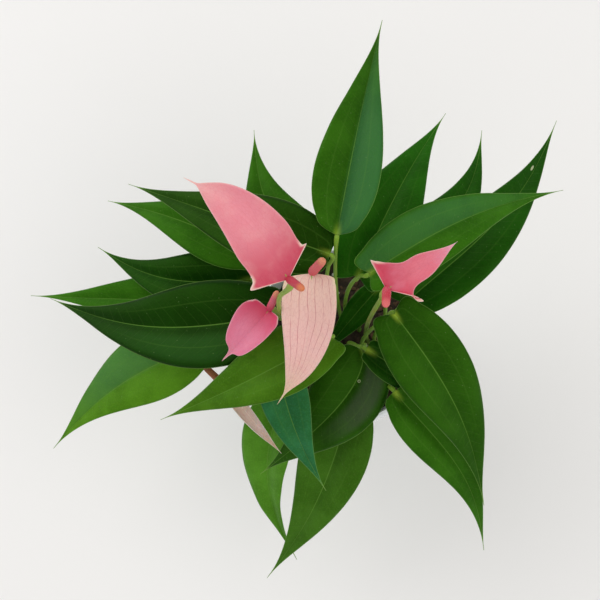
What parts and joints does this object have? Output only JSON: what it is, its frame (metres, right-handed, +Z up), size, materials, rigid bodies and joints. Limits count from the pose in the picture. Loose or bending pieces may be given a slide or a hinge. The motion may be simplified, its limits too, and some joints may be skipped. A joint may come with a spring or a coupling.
{
  "type": "potted anthurium",
  "caption": "Potted anthurium with long narrow drip-tipped leaves and pink tulip-shaped flowers in a white glazed pot.",
  "frame": {"origin": "centre of the pot's flat foot, on the surface it stands on", "axes": "+Z up along the pot's axis; +X and +Y level, +Y towards the side where the longest upright leaves reach"},
  "size_m": [0.3646, 0.3509, 0.3594],
  "materials": {
    "glaze": "gloss",
    "soil": "matte",
    "stalk": "satin",
    "leaf_green": "gloss",
    "leaf_dark": "gloss",
    "leaf_bright": "gloss",
    "leaf_teal": "gloss",
    "leaf_olive": "gloss",
    "spathe_pink": "satin",
    "spathe_cream": "satin",
    "spathe_magenta": "satin",
    "spathe_faded": "satin",
    "spadix_red": "satin",
    "spadix_brown": "satin"
  },
  "bodies": {
    "root": {"pot": "glaze", "soil": "soil", "petiole_01": "stalk", "blade_01": "leaf_green", "petiole_02": "stalk", "blade_02": "leaf_dark", "petiole_03": "stalk", "blade_03": "leaf_dark", "petiole_04": "stalk", "blade_04": "leaf_green", "petiole_05": "stalk", "blade_05": "leaf_dark", "petiole_06": "stalk", "blade_06": "leaf_green", "petiole_07": "stalk", "blade_07": "leaf_green", "petiole_08": "stalk", "blade_08": "leaf_dark", "petiole_09": "stalk", "blade_09": "leaf_green", "petiole_10": "stalk", "blade_10": "leaf_dark", "petiole_11": "stalk", "blade_11": "leaf_bright", "petiole_12": "stalk", "blade_12": "leaf_teal", "petiole_13": "stalk", "blade_13": "leaf_olive", "petiole_14": "stalk", "blade_14": "leaf_olive", "petiole_15": "stalk", "blade_15": "leaf_dark", "petiole_16": "stalk", "blade_16": "leaf_bright", "petiole_17": "stalk", "blade_17": "leaf_green", "petiole_18": "stalk", "blade_18": "leaf_dark", "petiole_19": "stalk", "blade_19": "leaf_green", "petiole_20": "stalk", "blade_20": "leaf_green", "petiole_21": "stalk", "blade_21": "leaf_green", "peduncle_1": "stalk", "spathe_1": "spathe_pink", "spadix_1": "spadix_red", "peduncle_2": "stalk", "spathe_2": "spathe_cream", "spadix_2": "spadix_red", "peduncle_3": "stalk", "spathe_3": "spathe_magenta", "spadix_3": "spadix_red", "peduncle_4": "stalk", "spathe_4": "spathe_pink", "spadix_4": "spadix_red", "peduncle_5": "stalk", "spathe_5": "spathe_faded", "spadix_5": "spadix_brown"}
  },
  "joints": []
}
